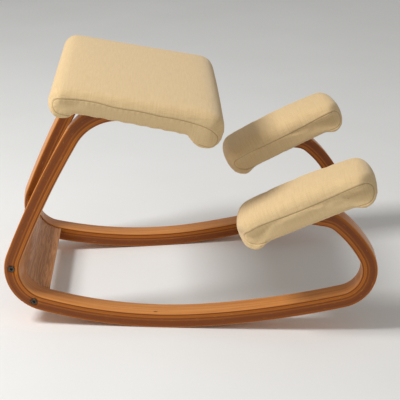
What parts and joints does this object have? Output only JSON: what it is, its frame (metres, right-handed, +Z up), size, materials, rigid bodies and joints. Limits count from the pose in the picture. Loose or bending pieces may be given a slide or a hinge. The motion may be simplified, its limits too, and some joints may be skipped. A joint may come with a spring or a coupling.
{
  "type": "kneeling chair",
  "caption": "Kneeling chair on two bentwood rocker rails, with a padded, forward-sloping seat, two sloping knee pads and a curved wooden plate joining the rails behind.",
  "frame": {"origin": "on the floor, under the middle of the chair's outline", "axes": "+X the way the sitter faces, +Y the sitter's left, +Z up"},
  "size_m": [0.7231, 0.5714, 0.4935],
  "materials": {
    "rail_wood": "satin lacquer on bent laminated wood",
    "plate_wood": "satin lacquer on bent laminated wood",
    "board_plywood": "raw plywood",
    "cushion_foam": "soft foam",
    "cover_cloth": "woven wool cloth",
    "lining_cloth": "thin dark lining cloth",
    "bolt_steel": "blackened",
    "fastener_steel": "zinc-plated"
  },
  "bodies": {
    "root": {"cross_plate": "plate_wood", "left_knee_board": "board_plywood", "left_knee_cover": "cover_cloth", "left_knee_foam": "cushion_foam", "left_knee_front_insert": "fastener_steel", "left_knee_front_screw": "fastener_steel", "left_knee_lining": "lining_cloth", "left_knee_rear_insert": "fastener_steel", "left_knee_rear_screw": "fastener_steel", "left_lower_barrel_nut": "fastener_steel", "left_lower_bolt": "bolt_steel", "left_rail": "rail_wood", "left_seat_front_insert": "fastener_steel", "left_seat_front_screw": "fastener_steel", "left_seat_rear_insert": "fastener_steel", "left_seat_rear_screw": "fastener_steel", "left_upper_barrel_nut": "fastener_steel", "left_upper_bolt": "bolt_steel", "right_knee_board": "board_plywood", "right_knee_cover": "cover_cloth", "right_knee_foam": "cushion_foam", "right_knee_front_insert": "fastener_steel", "right_knee_front_screw": "fastener_steel", "right_knee_lining": "lining_cloth", "right_knee_rear_insert": "fastener_steel", "right_knee_rear_screw": "fastener_steel", "right_lower_barrel_nut": "fastener_steel", "right_lower_bolt": "bolt_steel", "right_rail": "rail_wood", "right_seat_front_insert": "fastener_steel", "right_seat_front_screw": "fastener_steel", "right_seat_rear_insert": "fastener_steel", "right_seat_rear_screw": "fastener_steel", "right_upper_barrel_nut": "fastener_steel", "right_upper_bolt": "bolt_steel", "seat_board": "board_plywood", "seat_cover": "cover_cloth", "seat_foam": "cushion_foam", "seat_lining": "lining_cloth"}
  },
  "joints": []
}
